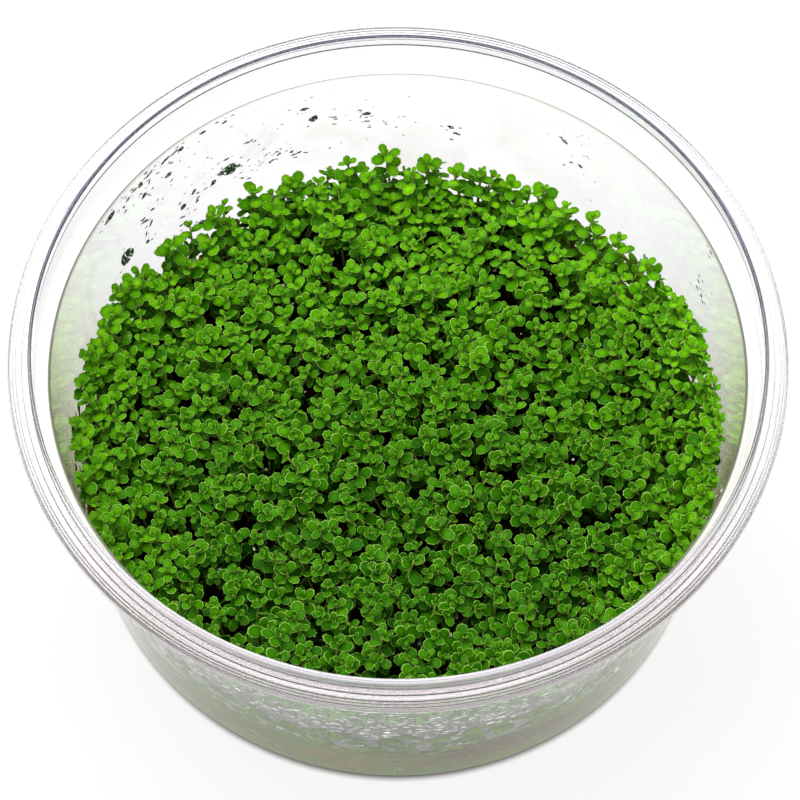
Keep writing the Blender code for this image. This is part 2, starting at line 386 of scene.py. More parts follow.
# The plastic is clear. A film of haze lies on its wall below the ledge, where the wall is also tinted olive
# on both
# sides and fainter in front: a painted reflection of the leaves inside. Its rim is tinted violet along the
# back, painted shade for the dark line at its edge. In front its rim has a painted highlight and its collar a
# fainter painted glow, and the corner at its ledge is frosted and given a faint painted glow, so that it
# shows as a fine line.
clear_color = color(250, 249, 251)
leaf_reflection_tint = color(231, 238, 176)
haze_color = color(232, 230, 226)
flange_color = color(231, 220, 228)
crown_shade_color = color(86, 80, 122)
black = (0.0, 0.0, 0.0, 1.0)
collar_light = (0.07, 0.065, 0.08, 1.0)
rim_light = (0.30, 0.29, 0.315, 1.0)
ledge_light = (0.11, 0.11, 0.085, 1.0)
clear_finish, wire, shader = finish("clear_plastic")
place, back, high, reach = measured(wire)
across = wire.node("ShaderNodeSeparateXYZ", {}, {"Vector": place}, output=0)
near = back.step(-15.0 * mm, -35.0 * mm)
haze = wire.node("ShaderNodeTexNoise", {}, {"Vector": place, "Scale": 70.0, "Detail": 5.0, "Distortion": 1.0})
haze = haze.step(0.45, 0.75) * high.step(39.0 * mm, 30.0 * mm) * (0.7 - across * 10.0)
# Painted reflection: an olive tint on both sides below the ledge, for the green of the leaves seen in the
# wall.
beside = back.step(26.0 * mm, -24.0 * mm) * (1.0 - back.step(-14.0 * mm, -40.0 * mm) * 0.75)
wall_tint = (beside * high.step(40.2 * mm, 39.2 * mm)).blend(clear_color, leaf_reflection_tint)
wall_tint = haze.blend(wall_tint, haze_color)
# Painted shade: a dark violet band along the top of the rim at the back, for the dark line at its edge.
crown = high.step(cup_height - 0.36 * mm, cup_height - 0.18 * mm) * back.step(-45.0 * mm, 10.0 * mm)
crown = crown * reach.step(collar_radius - 0.52 * mm, collar_radius - 0.44 * mm)
outside = reach.step(collar_radius - 0.3 * mm, collar_radius - 0.1 * mm)
flange = high.step(lip_height - 0.2 * mm, lip_height) * outside
wall_tint = (flange * near).blend(wall_tint, flange_color)
connect(crown.blend(wall_tint, crown_shade_color), shader, "Base Color")
# Painted highlight: the rim's top edge in front glows, and the collar above the flange glows faintly.
collar_face = high.step(flange_height, flange_height + 0.4 * mm) * near
rim_edge = high.step(cup_height - 1.1 * mm, cup_height - 0.7 * mm) * near
lit = rim_edge.blend(collar_face.blend(black, collar_light), rim_light)
# Painted light: the corner at the ledge is frosted and glows faintly, so it shows as a fine line.
corner = high.step(ledge_height - 0.6 * mm, ledge_height - 0.4 * mm)
corner = corner * high.step(ledge_height + 0.2 * mm, ledge_height + 0.1 * mm)
corner = corner * reach.step(ledge_radius + 0.7 * mm, ledge_radius + 0.5 * mm)
connect(high.step(38.0 * mm, 40.5 * mm) * rim_frost + corner * corner_frost, shader, "Roughness")
connect(corner.blend(lit, ledge_light), shader, "Emission Color")
settle(shader, {"Emission Strength": 1.0, "IOR": 1.50, "Transmission Weight": 1.0})
piece_of("cup", turned("cup", cup_outline, cup_steps), clear_finish, "clear_plastic", "cup")

# The gel: a soft pale disc that was poured warm into the cup and clings to its floor and wall, so it is
# set a little into them and no air shows between. Old roots and leaves make it olive and cloudy.
gel_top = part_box("gel")[1][2]
gel_bite = 0.12 * mm
meniscus = 0.8 * mm
gel_steps = 120
gel_side = inner_radius(gel_top + meniscus) + gel_bite
gel_outline = rounded([
    (0.0, gel_top),
    (gel_side - 2.0 * meniscus, gel_top, 1.5 * mm),
    (gel_side, gel_top + meniscus, 0.1 * mm),
    (inner_radius(wall) + gel_bite, wall - gel_bite, 2.4 * mm),
    (foot_radius + 2.0 * foot_rise, wall - gel_bite, 1.0 * mm),
    (foot_radius, foot_rise + wall - gel_bite, 1.0 * mm),
    (0.0, foot_rise + wall - gel_bite),
])
olive = (0.400, 0.395, 0.001, 1.0)
leafy = (0.270, 0.440, 0.001, 1.0)
brown = (0.250, 0.205, 0.001, 1.0)
pale = (0.800, 0.700, 0.500, 1.0)
shadowed = (0.014, 0.010, 0.005, 1.0)
gel_foot_shade = (0.080, 0.060, 0.012, 1.0)
gel_finish, wire, shader = finish("cloudy_gel")
place, _, high, reach = measured(wire)
flat = wire.node("ShaderNodeVectorMath", {"operation": "MULTIPLY"}, {0: place, 1: (1.0, 1.0, 3.2)})
cloud = wire.node("ShaderNodeTexNoise", {}, {"Vector": flat, "Scale": 90.0, "Detail": 4.0, "Distortion": 0.8})
patch = wire.node("ShaderNodeTexNoise", {}, {"Vector": flat, "Scale": 34.0, "Detail": 3.0})
base = cloud.step(0.42, 0.60).blend(olive, leafy)
base = (patch.step(0.48, 0.62) * high.step(3.0 * mm, 9.0 * mm)).blend(base, brown)
base = (patch.step(0.36, 0.28) * high.step(8.0 * mm, 1.0 * mm)).blend(base, pale)
# Painted shade: the top of the gel under the carpet is near black.
carpet_shade = high.step(gel_top - 1.6 * mm, gel_top - 0.1 * mm)
carpet_shade = carpet_shade * reach.step(gel_side - 0.3 * mm, gel_side - 1.8 * mm)
base = carpet_shade.blend(base, shadowed)
# Painted shade: the gel is darker towards its foot, where the cup meets the table.
base = high.step(2.4 * mm, 0.9 * mm).blend(base, gel_foot_shade)
connect(base, shader, "Base Color")
settle(shader, {"Roughness": 0.5, "Specular IOR Level": 0.0})
piece_of("gel", turned("gel", gel_outline, gel_steps), gel_finish, "growing_gel", "gel")

# The leaves: fleshy little ovals in crossed pairs up thin stems, each with a pale clear edge, painted paler
# still as a highlight.
# Their UV map has eight by eight tiles, a column for the tone and a row for the kind of leaf.
tiles = 8
disc_share = 0.46
leaf_centre = 0.56
leaf_thickness = 0.06
stem_row = 0


def leaf_blade(sides):
    """One leaf of length 1 along x and width 1, as points, their places on a unit disc, and faces.

    Its outline at angle a is x = (1 + cos a) / 2 and y = 0.54 sin a x ^ 0.35, so it narrows to a stalk
    at x = 0. A ring at share s of the outline stands thickness times (1 - s ^ 2) ^ 0.5 above the middle,
    and the one below sinks by 0.6 of it.
    """
    angles = 2.0 * np.pi * np.arange(sides) / sides
    outline_x = 0.5 * (1.0 + np.cos(angles))
    outline_y = 0.54 * np.sin(angles) * np.maximum(outline_x, 1e-9) ** 0.35
    shares = np.array([0.55, 0.88, 1.0, 0.7])
    heights = leaf_thickness * np.array([1.0, 1.0, 0.0, -0.6]) * np.sqrt(1.0 - shares ** 2)
    rings = np.stack([
        leaf_centre + shares[:, None] * (outline_x - leaf_centre),
        shares[:, None] * outline_y,
        np.repeat(heights[:, None], sides, axis=1),
    ], axis=2)
    poles = [[leaf_centre, 0.0, leaf_thickness], [leaf_centre, 0.0, -0.6 * leaf_thickness]]
    disc = np.stack([shares[:, None] * np.cos(angles), shares[:, None] * np.sin(angles)], axis=2)
    points = np.concatenate([rings.reshape(-1, 3), poles])
    disc = np.concatenate([disc.reshape(-1, 2), np.zeros((2, 2))])
    return points, disc, *ring_faces(len(shares), sides)


def unit(vectors):
    """Vectors of length 1."""
    return vectors / np.linalg.norm(vectors, axis=-1, keepdims=True)


def inside_cup(points, clearance, softness=0.3 * mm):
    """Points kept off the cup's wall: past a limit, the radius eases towards the wall and never meets it."""
    radius = np.hypot(points[..., 0], points[..., 1])
    limit = inner_radius(points[..., 2]) - clearance
    over = np.maximum(radius - (limit - softness), 0.0)
    eased = np.where(over > 0.0, limit - softness * np.exp(-over / softness), radius)
    scale = eased / np.maximum(radius, 1e-9)
    return points * np.stack([scale, scale, np.ones_like(scale)], axis=-1)


def repeated(faces, points_each, count):
    """The faces of one shape for count shapes whose points follow each other."""
    return (faces[None] + (points_each * np.arange(count))[:, None, None]).reshape(-1, faces.shape[1])


def leaves(plan, sides=9):
    """Points, faces and UV places of many leaves, each the one blade in its own frame.

    A leaf's point is foot + length (x along + width y across + lift face), where lift is z + bend x ^ 2 +
    fold y ^ 2 and across is face x along.
    """
    blade, disc, quads, fans = leaf_blade(sides)
    x, y, z = blade.T
    across = np.cross(plan["face"], plan["along"])
    lift = z + plan["bend"][:, None] * x ** 2 + plan["fold"][:, None] * y ** 2
    points = plan["foot"][:, None] + plan["length"][:, None, None] * (
        x[None, :, None] * plan["along"][:, None]
        + (plan["width"][:, None] * y)[..., None] * across[:, None]
        + lift[..., None] * plan["face"][:, None]
    )
    spots = (plan["tile"][:, None] + 0.5 + disc_share * disc[None]) / tiles
    count = len(points)
    faces = [repeated(part, len(blade), count) for part in (quads, fans)]
    return points.reshape(-1, 3), *faces, spots.reshape(-1, 2)


def stems(paths, radii, sides=5):
    """Points, faces and UV places of many tubes, each along its own path from the top down.

    A ring's point is path + radius (u cos a + v sin a), with u and v square to the path.
    """
    count, steps = radii.shape
    along = unit(np.gradient(paths, axis=1))
    u = unit(np.cross(along, np.array([0.31, 0.95, 0.0])))
    v = np.cross(u, along)
    angles = 2.0 * np.pi * np.arange(sides) / sides
    rings = paths[:, :, None] + radii[:, :, None, None] * (
        np.cos(angles)[:, None] * u[:, :, None] + np.sin(angles)[:, None] * v[:, :, None]
    )
    points = np.concatenate([rings.reshape(count, -1, 3), paths[:, :1], paths[:, -1:]], axis=1)
    disc = np.stack(np.meshgrid(np.arange(steps) / steps, np.arange(sides) / sides, indexing="ij"), axis=2)
    disc = np.concatenate([disc.reshape(-1, 2), [[0.0, 0.5], [1.0, 0.5]]]) - 0.5
    spots = (np.array([3.5, stem_row + 0.5]) + disc_share * disc) / tiles
    faces = [repeated(part, points.shape[1], count) for part in ring_faces(steps, sides)]
    return points.reshape(-1, 3), *faces, np.tile(spots, (count, 1))


def joined(name, *groups):
    """One mesh of several groups of points, faces and UV places."""
    starts = np.cumsum([0] + [len(group[0]) for group in groups])
    points = np.concatenate([group[0] for group in groups])
    quads = np.concatenate([group[1] + start for group, start in zip(groups, starts)])
    fans = np.concatenate([group[2] + start for group, start in zip(groups, starts)])
    spots = np.concatenate([group[3] for group in groups])
    return filled_mesh(name, points, quads, fans, spots)


def tiled(wire):
    """Wires for a place in the tiled UV map: the place in tiles, its tile's corner, and that tile's tone."""
    spot = wire.node("ShaderNodeUVMap", {"uv_map": "OFBake"})
    scaled = wire.node("ShaderNodeVectorMath", {"operation": "SCALE"}, {0: spot, "Scale": float(tiles)})
    tile_at = wire.node("ShaderNodeVectorMath", {"operation": "FLOOR"}, {0: scaled})
    tone = wire.node("ShaderNodeTexWhiteNoise", {"noise_dimensions": "2D"}, {"Vector": tile_at})
    return scaled, tile_at, tone


# A leaf is deep green at its stalk and fresher towards its tip. Inside its margin a darker ring is painted
# shade, where the leaf cups, and the pale margin is partly its clear edge and partly a painted highlight,
# strongest on the highest leaves. Young leaves are the brightest and the lowest pairs the darkest, partly
# from their age and partly as painted shade from the leaves above. All are painted brighter and yellower
# towards the back and the sides of the cup, for the light that comes through them from behind, and darker in
# front.
young_stem = (0.36, 0.56, 0.07, 1.0)
old_stem = (0.62, 0.55, 0.40, 1.0)
deep = (0.010, 0.070, 0.001, 1.0)
shade = (0.016, 0.110, 0.001, 1.0)
middle = (0.029, 0.195, 0.001, 1.0)
fresh = (0.135, 0.430, 0.004, 1.0)
margin_color = (0.45, 0.84, 0.12, 1.0)
front_shade_tint = (0.60, 0.75, 0.70, 1.0)
back_light_tint = (2.05, 1.80, 1.00, 1.0)
leaf_finish, wire, shader = finish("leaf")
scaled, tile_at, tone = tiled(wire)
on_disc = wire.node("ShaderNodeVectorMath", {"operation": "FRACTION"}, {0: scaled})
on_disc = wire.node("ShaderNodeVectorMath", {"operation": "SUBTRACT"}, {0: on_disc, 1: (0.5, 0.5, 0.0)})
out = wire.node("ShaderNodeVectorMath", {"operation": "LENGTH"}, {0: on_disc}, output=1) / disc_share
towards_tip = wire.node("ShaderNodeSeparateXYZ", {}, {"Vector": on_disc}, output=0) / disc_share
row = wire.node("ShaderNodeSeparateXYZ", {}, {"Vector": tile_at}, output=1) / (tiles - 1.0)
mottle = wire.node("ShaderNodeTexNoise", {"noise_dimensions": "2D"}, {"Vector": scaled, "Scale": 4.0})
_, back, _, reach = measured(wire)
# Painted light: brighter and yellower towards the back and the sides, darker in front.
edge = reach.step(30.0 * mm, 43.0 * mm) * back.step(-38.0 * mm, -10.0 * mm)
light = back.step(-20.0 * mm, 44.0 * mm) * 0.7 + edge * 0.6
light = light.blend(front_shade_tint, back_light_tint)
# Lower pairs are darker, partly from their age and partly as painted shade from the leaves above.
base = row.step(0.05, 0.6).blend(deep, middle)
base = (row.step(0.3, 1.0) * 0.75 + tone * 0.5 - 0.15).blend(base, fresh)
base = (mottle.step(0.35, 0.75) * 0.22).blend(base, fresh)
base = (towards_tip.step(0.2, -0.9) * 0.45).blend(base, deep)
# Painted shade: a darker ring inside the margin, where the leaf cups.
base = (out.step(0.30, 0.78) * 0.40).blend(base, shade)
base = wire.node("ShaderNodeVectorMath", {"operation": "MULTIPLY"}, {0: base, 1: light})
# The pale margin: partly the leaf's clear edge and partly a painted highlight, strongest on the highest
# leaves.
base = (out.step(0.80, 0.92) * (row * 0.7 + 0.3)).blend(base, margin_color)
stem = towards_tip.step(-0.2, 0.5).blend(young_stem, old_stem)
base = row.step(0.02, 0.10).blend(stem, base)
connect(base, shader, "Base Color")
settle(shader, {"Roughness": 0.45, "Specular IOR Level": 0.04})

# The carpet: upright shoots grown together all over the gel, each a thin stem with five crossed pairs of
# leaves, the youngest and smallest at its tip. Near the wall they lean outwards.
draw = np.random.default_rng(11)
shoot_count = 860
canopy_height = 22.6 * mm
canopy_swell = 0.6 * mm
back_fall = 1.2 * mm
side_rise = 3.6 * mm
end_fall = 0.9 * mm
mat_reach = inner_radius(22.0 * mm) - 0.5 * mm
golden_angle = 137.508
mat_rise = 0.5 * mm
mat_lean = 0.35
stem_radius = 0.17 * mm
stem_end = 0.2 * mm
least_depth = 4.0 * mm
curl_spread = 9.0
leaf_clearance = 0.12 * mm
stem_clearance = 0.3 * mm


def canopy(x, y):
    """Height of the mat's top: soft swells, lower at the back, and higher where both sides meet the wall."""
    across = x / inner_radius(canopy_height)
    back = y / inner_radius(canopy_height)
    swell = canopy_swell * np.sin(170.0 * x + 1.0) * np.sin(140.0 * y + 0.4)
    return canopy_height - back_fall * back + side_rise * across ** 4 - end_fall * back ** 4 + swell


def spread(count, reach, jitter):
    """Places spread evenly over a disc by the golden angle, each moved at random by up to jitter."""
    k = np.arange(count)
    radius = reach * np.sqrt((k + 0.5) / count)
    angle = k * np.radians(golden_angle)
    x = radius * np.cos(angle) + draw.uniform(-jitter, jitter, count)
    y = radius * np.sin(angle) + draw.uniform(-jitter, jitter, count)
    return x, y


def shoot_plan(tips, axes, curls, scales, pairs):
    """The leaves of shoots, as arrays. A pair is its drop below the tip, leaf length, lift in degrees, row.

    A stem's point at distance d below its tip is tip - axis d + curl d ^ 2, and each pair of leaves
    stands a quarter turn from the one above it.
    """
    drops, lengths, lifts, rows = np.array(pairs).T
    shape = (len(tips), len(pairs), 2)
    along_stem = (drops * mm * scales[:, None])[..., None, None]
    foot = tips[:, None, None] - along_stem * axes[:, None, None] + along_stem ** 2 * curls[:, None, None]
    axis = unit(axes[:, None, None] - 2.0 * along_stem * curls[:, None, None])
    u = unit(np.cross(axis, np.array([0.0, 1.0, 0.0])))
    v = np.cross(axis, u)
    turn = draw.uniform(0.0, np.pi, len(tips))[:, None, None]
    turn = turn + 0.5 * np.pi * np.arange(len(pairs))[:, None] + np.pi * np.arange(2)
    turn = (turn + draw.normal(0.0, 0.16, shape))[..., None]
    lift = (np.radians(lifts)[:, None] + draw.normal(0.0, 0.19, shape))[..., None]
    outwards = np.cos(turn) * u + np.sin(turn) * v
    along = np.cos(lift) * outwards + np.sin(lift) * axis
    face = unit(np.cos(lift) * axis - np.sin(lift) * outwards + 0.2 * draw.normal(0.0, 1.0, along.shape))
    face = unit(face - (face * along).sum(-1, keepdims=True) * along)
    row = np.clip(rows[:, None] + draw.integers(-1, 2, shape), stem_row + 1, tiles - 1)
    plan = {
        "foot": np.broadcast_to(foot, along.shape),
        "along": along,
        "face": face,
        "length": lengths[:, None] * mm * scales[:, None, None] * draw.uniform(0.82, 1.12, shape),
        "width": draw.uniform(0.66, 0.95, shape),
        "bend": draw.normal(-0.12, 0.08, shape),
        "fold": draw.normal(0.30, 0.16, shape),
        "tile": np.stack([draw.integers(0, tiles, shape), row], axis=3),
    }
    return {name: values.reshape(-1, *values.shape[3:]) for name, values in plan.items()}


def stem_paths(tips, axes, curls, depths, steps=5):
    """The paths and radii of the stems of shoots, from just under their tips down to their depths."""
    down = (np.linspace(0.02, 1.0, steps) * depths[:, None])[..., None]
    paths = tips[:, None] - down * axes[:, None] + down ** 2 * curls[:, None]
    return paths, stem_radius * (0.75 + 0.5 * np.sqrt(down[..., 0] / depths[:, None]))


def level_curls(count, strength):
    """The bends of stems: level, and at random."""
    return draw.normal(0.0, strength, (count, 3)) * np.array([1.0, 1.0, 0.0])


def depths_to_gel(tip_z):
    """How far stems run down from their tips: to just above the gel, and at least the least depth."""
    return np.maximum(tip_z - gel_top - stem_end, least_depth)


def kept_inside(group, clearance):
    """A group with its points kept off the cup's wall."""
    return inside_cup(group[0], clearance), *group[1:]


shoot_x, shoot_y = spread(shoot_count, mat_reach, 1.0 * mm)
tip_z = canopy(shoot_x, shoot_y) + mat_rise + draw.normal(0.0, 0.9 * mm, shoot_count)
tips = np.stack([shoot_x, shoot_y, tip_z], axis=1)
lean = mat_lean * (np.hypot(shoot_x, shoot_y) / mat_reach) ** 8
axes = unit(np.stack([
    draw.normal(0.0, 0.2, shoot_count) + lean * shoot_x / mat_reach,
    draw.normal(-0.04, 0.2, shoot_count) + lean * shoot_y / mat_reach,
    np.ones(shoot_count),
], axis=1))
curls = level_curls(shoot_count, curl_spread)
scales = draw.uniform(0.72, 1.25, shoot_count)
mat_pairs = (
    (0.05, 0.75, 64, 7),
    (0.45, 1.35, 40, 6),
    (1.15, 1.90, 27, 5),
    (2.30, 2.20, 15, 3),
    (3.90, 2.15, 5, 2),
)
mat_plan = shoot_plan(tips, axes, curls, scales, mat_pairs)
mat_pieces = 4
shares = np.linspace(0, len(mat_plan["foot"]), mat_pieces + 1).astype(int)
for number, (start, end) in enumerate(zip(shares, shares[1:]), start=1):
    part = {name: values[start:end] for name, values in mat_plan.items()}
    group = kept_inside(leaves(part), leaf_clearance)
    piece_of(f"mat_leaves_{number}", joined(f"mat_leaves_{number}", group), leaf_finish, "leaves", "carpet")
mat_stems = stems(*stem_paths(tips, axes, 0.4 * curls, depths_to_gel(tip_z)))
group = kept_inside(mat_stems, stem_clearance)
piece_of("mat_stems", joined("mat_stems", group), leaf_finish, "leaves", "carpet")

# The creeping layer: older and darker leaves low between the stems, at all angles. They close the carpet
# below, so that little of the gel shows from above.
creeper_count = 760
creeper_lowest = 1.0
creeper_highest = 7.5
creeper_clearance = 0.14 * mm
creeper_pairs = ((0.2, 2.3, 20, 2),)
creeper_x, creeper_y = spread(creeper_count, mat_reach, 1.6 * mm)
creeper_z = gel_top + draw.uniform(creeper_lowest, creeper_highest, creeper_count) * mm
creeper_tips = np.stack([creeper_x, creeper_y, creeper_z], axis=1)
creeper_axes = draw.normal(0.0, 1.0, (creeper_count, 3)) * np.array([1.0, 1.0, 0.3])
creeper_axes = unit(creeper_axes + np.array([0.0, 0.0, 0.6]))
creeper_curls = np.zeros((creeper_count, 3))
creeper_scales = draw.uniform(0.85, 1.25, creeper_count)
creeper_plan = shoot_plan(creeper_tips, creeper_axes, creeper_curls, creeper_scales, creeper_pairs)
group = kept_inside(leaves(creeper_plan, sides=6), creeper_clearance)
piece_of("creeping_leaves", joined("creeping_leaves", group), leaf_finish, "leaves", "carpet")

# The leaves against the wall: the carpet's outer leaves, pressed flat on the wet wall, so they are set a
# hair into it and no air shows between.
wall_leaf_count = 800
wall_leaf_drop = 3.6 * mm
wall_leaf_bite = 0.06 * mm
wall_leaf_rows = [4, 5, 6, 7]
wall_slope = (inner_radius(ledge_height) - inner_radius(0.0)) / ledge_height
young_wet = (0.44, 0.66, 0.05, 1.0)
old_wet = (0.16, 0.38, 0.01, 1.0)


def on_wall(angle, height, gap):
    """Places on the inner wall at angles in radians, with the directions round it, up it and inwards."""
    zero = np.zeros_like(angle)
    round_it = np.stack([np.sin(angle), -np.cos(angle), zero], axis=1)
    up_it = unit(np.stack([wall_slope * np.cos(angle), wall_slope * np.sin(angle), zero + 1.0], axis=1))
    inwards = np.cross(round_it, up_it)
    radius = inner_radius(height)
    face = np.stack([radius * np.cos(angle), radius * np.sin(angle), height], axis=1)
    return face + gap * inwards, round_it, up_it, inwards


def bits_plan(angle, height, length, width, tilt, row, gap=0.07 * mm):
    """Leaf bits that lie flat on the wall, centred on their places."""
    place, round_it, up_it, inwards = on_wall(angle, height, gap)
    along = np.cos(tilt)[:, None] * round_it + np.sin(tilt)[:, None] * up_it
    count = len(angle)
    return {
        "foot": place - 0.5 * length[:, None] * along,
        "along": along,
        "face": inwards,
        "length": length,
        "width": width / length,
        "bend": np.zeros(count),
        "fold": np.zeros(count),
        "tile": np.stack([draw.integers(0, tiles, count), row], axis=1),
    }


angle = draw.uniform(0.0, 2.0 * np.pi, wall_leaf_count)
wall_top = canopy(mat_reach * np.cos(angle), mat_reach * np.sin(angle)) - wall_leaf_drop
height = gel_top - 0.3 * mm + (wall_top - gel_top) * draw.uniform(0.0, 1.0, wall_leaf_count)
length = draw.uniform(1.3, 2.9, wall_leaf_count) * mm
width = length * draw.uniform(0.6, 0.95, wall_leaf_count)
tilt = draw.uniform(0.0, 2.0 * np.pi, wall_leaf_count)
row = draw.choice(wall_leaf_rows, wall_leaf_count)
pressed = bits_plan(angle, height, length, width, tilt, row, -wall_leaf_bite)
wet_finish, wire, shader = finish("wet_leaf")
connect(tiled(wire)[2].blend(young_wet, old_wet), shader, "Base Color")
settle(shader, {"Roughness": 0.5, "Specular IOR Level": 0.0})
piece_of("wall_leaves", joined("wall_leaves", leaves(pressed, sides=6)), wet_finish, "leaves", "carpet")

# The standing shoots: single ones that rise clear of the carpet, most of them along its back, each with
# its stem running on down into the carpet. One stands where each CAD shoot stands.
sprig_count = 24
sprig_root = 4.0 * mm
sprig_curl = 12.0
sprig_lean = 0.16
tip_leaf_rise = 0.5 * mm
sprig_pairs = (
    (0.10, 1.00, 60, 7),
    (0.60, 1.55, 38, 6),
    (1.70, 2.20, 24, 5),
    (3.30, 2.35, 12, 4),
    (5.10, 2.20, 5, 3),
)
for number in range(1, sprig_count + 1):
    low, high = np.array(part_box(f"sprig_{number:02d}"))
    tip = np.array([[0.5 * (low[0] + high[0]), 0.5 * (low[1] + high[1]), high[2] - tip_leaf_rise]])
    axis = unit(np.array([[draw.normal(0.0, sprig_lean), draw.normal(0.0, sprig_lean), 1.0]]))
    curl = level_curls(1, sprig_curl)
    plan = shoot_plan(tip, axis, curl, draw.uniform(0.85, 1.1, 1), sprig_pairs)
    depth = np.array([high[2] - low[2] + sprig_root])
    name = f"sprig_{number:02d}"
    group = kept_inside(leaves(plan), leaf_clearance)
    stalk = kept_inside(stems(*stem_paths(tip, axis, curl, depth, steps=8), sides=6), stem_clearance)
    piece_of(f"{name}_shoot", joined(f"{name}_shoot", group, stalk), leaf_finish, "leaves", name)


# Leaf bits on the wall: scraps left where the plants were rinsed in, dried on the inner wall, most of
# them at the back left. The larger ones are where the photo has them, and the smallest ones are strewn
# round them and in groups.
seen_bits = (
    # Read in the photo, in its pixels, from the right round to the left: the middle across and down,
    # half of the long axis across and down, the width, and the kind of leaf.
    (701.7, 295.3, 0.7, 2.2, 1.4, 0), (713.2, 245.9, 0.8, 2.8, 1.1, 0), (698.9, 281.0, 1.4, 2.5, 1.1, 0),
    (580.3, 165.7, 2.5, 2.2, 2.2, 1), (564.6, 141.0, 3.4, 3.1, 2.0, 0), (455.4, 132.7, 2.9, 0.2, 1.9, 3),
    (450.6, 126.7, 3.4, 1.7, 3.2, 1), (366.3, 113.3, 5.1, -0.5, 3.4, 1), (360.6, 116.4, 1.5, -2.4, 1.0, 0),
    (332.4, 116.7, 4.8, 0.2, 0.7, 3), (330.0, 176.9, 3.2, -2.9, 3.2, 1), (312.8, 118.3, 5.1, -1.9, 4.8, 1),
    (303.1, 109.1, 4.1, -1.2, 2.7, 0), (298.2, 152.3, 3.4, -1.8, 1.4, 0), (291.3, 151.5, 2.1, -1.2, 2.4, 0),
    (271.4, 160.4, 3.1, -1.8, 1.5, 0), (246.9, 142.3, 2.8, -0.5, 1.8, 0), (248.4, 178.0, 3.1, -0.6, 1.1, 3),
    (237.7, 165.5, 2.8, -0.6, 3.4, 1), (223.9, 122.1, 2.8, -2.1, 1.8, 0), (228.5, 169.6, 8.0, -4.3, 9.5, 2),
    (225.5, 159.3, 4.0, -2.1, 1.5, 0), (220.1, 173.4, 3.1, -1.8, 4.3, 2), (212.9, 182.6, 1.8, -3.4, 4.0, 1),
    (202.5, 132.1, 3.4, -1.8, 2.1, 0), (205.6, 221.6, 1.5, -4.3, 3.4, 2), (196.7, 201.0, 1.4, -2.1, 2.1, 0),
    (200.2, 223.2, 4.6, -2.1, 5.2, 2), (193.3, 191.8, 2.1, -3.7, 2.4, 0), (180.3, 148.9, 3.4, -2.1, 3.4, 1),
    (173.4, 152.8, 4.3, -3.8, 1.4, 0), (182.9, 206.6, 2.1, -3.7, 4.0, 1), (181.8, 217.0, 3.4, -1.5, 1.5, 0),
    (165.0, 159.6, 4.6, -4.3, 1.8, 0), (167.6, 175.0, 3.8, -2.8, 3.4, 1), (150.5, 171.9, 1.5, -2.8, 1.5, 1),
    (148.9, 181.8, 0.8, -3.1, 1.2, 3), (145.9, 177.2, 3.4, -2.4, 1.2, 0), (152.0, 209.1, 2.4, -1.2, 2.1, 0),
    (147.4, 194.1, 3.4, 1.2, 1.2, 3), (150.5, 223.2, 1.8, -4.6, 1.4, 3), (143.6, 195.6, 2.1, -4.0, 2.8, 1),
    (139.7, 184.9, 2.4, -3.4, 3.4, 1), (143.9, 221.6, 4.0, -3.1, 1.5, 1), (145.9, 233.9, 0.6, -3.1, 1.2, 3),
    (147.4, 241.5, 1.2, -2.4, 3.1, 2), (133.6, 190.3, 3.1, -3.1, 1.5, 0), (127.5, 199.4, 2.1, -3.4, 1.5, 0),
    (123.4, 207.1, 0.9, -1.8, 2.1, 0), (126.7, 256.8, 3.1, -9.5, 9.8, 2), (121.7, 259.9, 0.6, -5.2, 1.5, 1),
    (109.1, 217.8, 5.4, -8.0, 3.4, 1),
)
bit_plumpness = 1.2
specks_each = 3
speck_drift = 0.018
speck_fall = 0.9 * mm
speck_tilt = 0.3
highest_speck = 39.3 * mm
lowest_speck = 20.0 * mm
dark_kinds = [0, 0, 1, 3]

# Groups of specks: middle angle and its spread, middle height and its spread, and count.
speck_groups = (
    (113.5, 1.6, 27.6, 0.5, 26),
    (118.0, 2.0, 26.4, 0.6, 26),
    (96.0, 4.0, 29.5, 2.0, 30),
    (57.0, 4.0, 33.0, 2.5, 16),
    (24.0, 2.0, 30.0, 1.5, 14),
    (112.0, 9.0, 34.0, 3.5, 40),
    (135.0, 9.0, 33.0, 4.5, 44),
)

# Old leaves by kind: near black, dark, dull green, brown-grey, fresh green, yellow, brown and pale.
dried_color = color(160, 178, 150)
kind_stops = [
    (0 / 7, (0.025, 0.035, 0.018)),
    (1 / 7, (0.035, 0.090, 0.030)),
    (2 / 7, (0.080, 0.190, 0.075)),
    (3 / 7, (0.200, 0.180, 0.110)),
    (4 / 7, (0.220, 0.420, 0.015)),
    (5 / 7, (0.800, 0.760, 0.180)),
    (6 / 7, (0.240, 0.150, 0.060)),
    (7 / 7, (0.860, 0.800, 0.680)),
]
old_finish, wire, shader = finish("old_leaf")
scaled, tile_at, tone = tiled(wire)
kind = wire.node("ShaderNodeSeparateXYZ", {}, {"Vector": tile_at}, output=1) / (tiles - 1.0)
grain = {"Vector": scaled, "Scale": 6.0, "Detail": 4.0}
mottle = wire.node("ShaderNodeTexNoise", {"noise_dimensions": "2D"}, grain)
old_color = wire.node("ShaderNodeValToRGB", {"stops": kind_stops}, {"Fac": kind})
old_color = (mottle.step(0.48, 0.58) * 0.7).blend(old_color, dried_color)
old_color = (tone * 0.4).blend(old_color, black)
connect(old_color, shader, "Base Color")
connect(1.0 - mottle.step(0.52, 0.57) * kind.step(2.6 / 7.0, 2.4 / 7.0), shader, "Alpha")
settle(shader, {"Roughness": 0.5})


